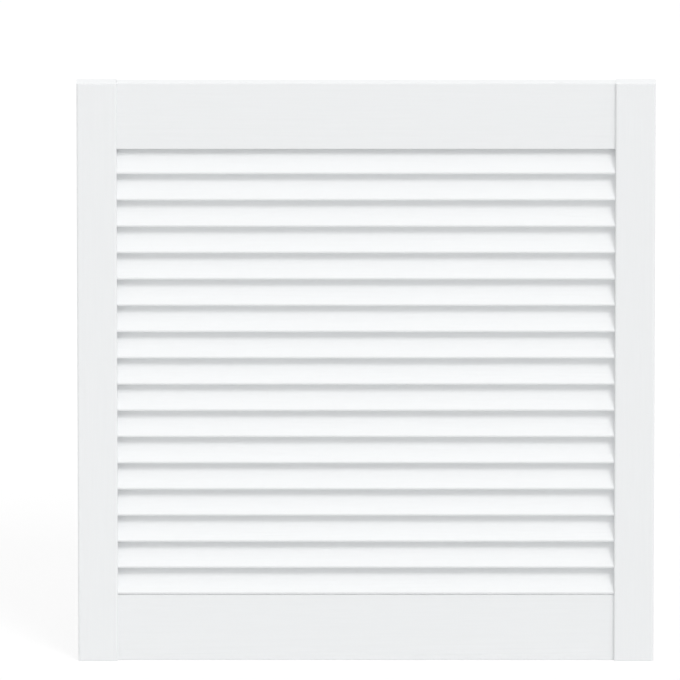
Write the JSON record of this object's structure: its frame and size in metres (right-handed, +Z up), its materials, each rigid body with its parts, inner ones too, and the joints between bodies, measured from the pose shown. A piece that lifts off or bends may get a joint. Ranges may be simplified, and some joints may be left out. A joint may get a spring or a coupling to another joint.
{
  "type": "louvred door",
  "caption": "White painted louvred cabinet door: a flat frame of stiles and thinner rails around a stack of fixed slanted slats that hide the inside and let air through.",
  "frame": {"origin": "centre of the left stile's outer edge face: half the height, half the thickness", "axes": "+X across the door to the right as seen from the front, +Y to the back (the front faces -Y), +Z up"},
  "size_m": [0.594, 0.021, 0.615],
  "materials": {
    "painted_frame": "satin white paint",
    "painted_slats": "satin white paint"
  },
  "bodies": {
    "root": {"left_stile": "painted_frame", "right_stile": "painted_frame", "top_rail": "painted_frame", "bottom_rail": "painted_frame", "slat_01": "painted_slats", "slat_02": "painted_slats", "slat_03": "painted_slats", "slat_04": "painted_slats", "slat_05": "painted_slats", "slat_06": "painted_slats", "slat_07": "painted_slats", "slat_08": "painted_slats", "slat_09": "painted_slats", "slat_10": "painted_slats", "slat_11": "painted_slats", "slat_12": "painted_slats", "slat_13": "painted_slats", "slat_14": "painted_slats", "slat_15": "painted_slats", "slat_16": "painted_slats", "slat_17": "painted_slats"}
  },
  "joints": []
}
